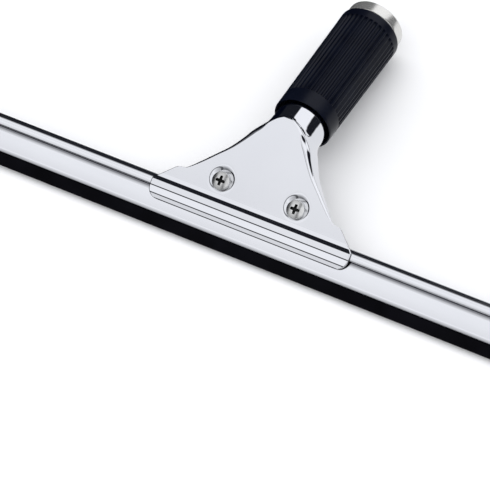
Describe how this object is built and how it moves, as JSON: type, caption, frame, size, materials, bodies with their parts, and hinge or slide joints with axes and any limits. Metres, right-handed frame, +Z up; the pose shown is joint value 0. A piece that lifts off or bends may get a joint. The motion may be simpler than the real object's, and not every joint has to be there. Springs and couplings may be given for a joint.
{
  "type": "window squeegee",
  "caption": "Window cleaning squeegee: steel quick-release handle with a ribbed rubber grip, a rocking clip and a long channel holding a rubber blade.",
  "frame": {"origin": "on the table under the centre of the lying squeegee's box", "axes": "+X along the channel, +Y from the blade towards the end of the handle, +Z up out of the table"},
  "size_m": [0.354, 0.1484, 0.0412],
  "materials": {
    "polished_steel": "mirror polished",
    "clip_steel": "polished",
    "channel_steel": "mirror polished",
    "ferrule_chrome": "plated",
    "fastener_steel": "satin",
    "spring_steel": "satin",
    "grip_rubber": "matte ribbed",
    "blade_rubber": "smooth",
    "socket_plastic": "matte"
  },
  "bodies": {
    "handle": {"handle_body": "polished_steel", "rubber_grip": "grip_rubber", "end_ferrule": "ferrule_chrome", "pole_socket_liner": "socket_plastic", "spring_cup": "spring_steel", "return_spring": "spring_steel", "screw_left": "fastener_steel", "screw_right": "fastener_steel", "nut_left": "fastener_steel", "nut_right": "fastener_steel"},
    "clip": {"clip_plate": "clip_steel", "spring_rivet": "fastener_steel"},
    "channel_rail": {"channel": "channel_steel", "rubber_blade": "blade_rubber", "end_clip_left": "spring_steel", "end_clip_right": "spring_steel"}
  },
  "joints": [
    {"name": "clip_pivot", "type": "hinge", "parent": "handle", "child": "clip", "pos_m": [0, -0.05087, 0.02636], "axis": [1, 0, 0], "range_deg": [0, 6.5], "stiffness_Nm_per_rad": 1.06, "springref_deg": -6.47, "deforming": ["return_spring"]},
    {"name": "channel_slide", "type": "slide", "parent": "handle", "child": "channel_rail", "axis": [1, 0, 0], "range_m": [-0.115, 0.115]}
  ]
}
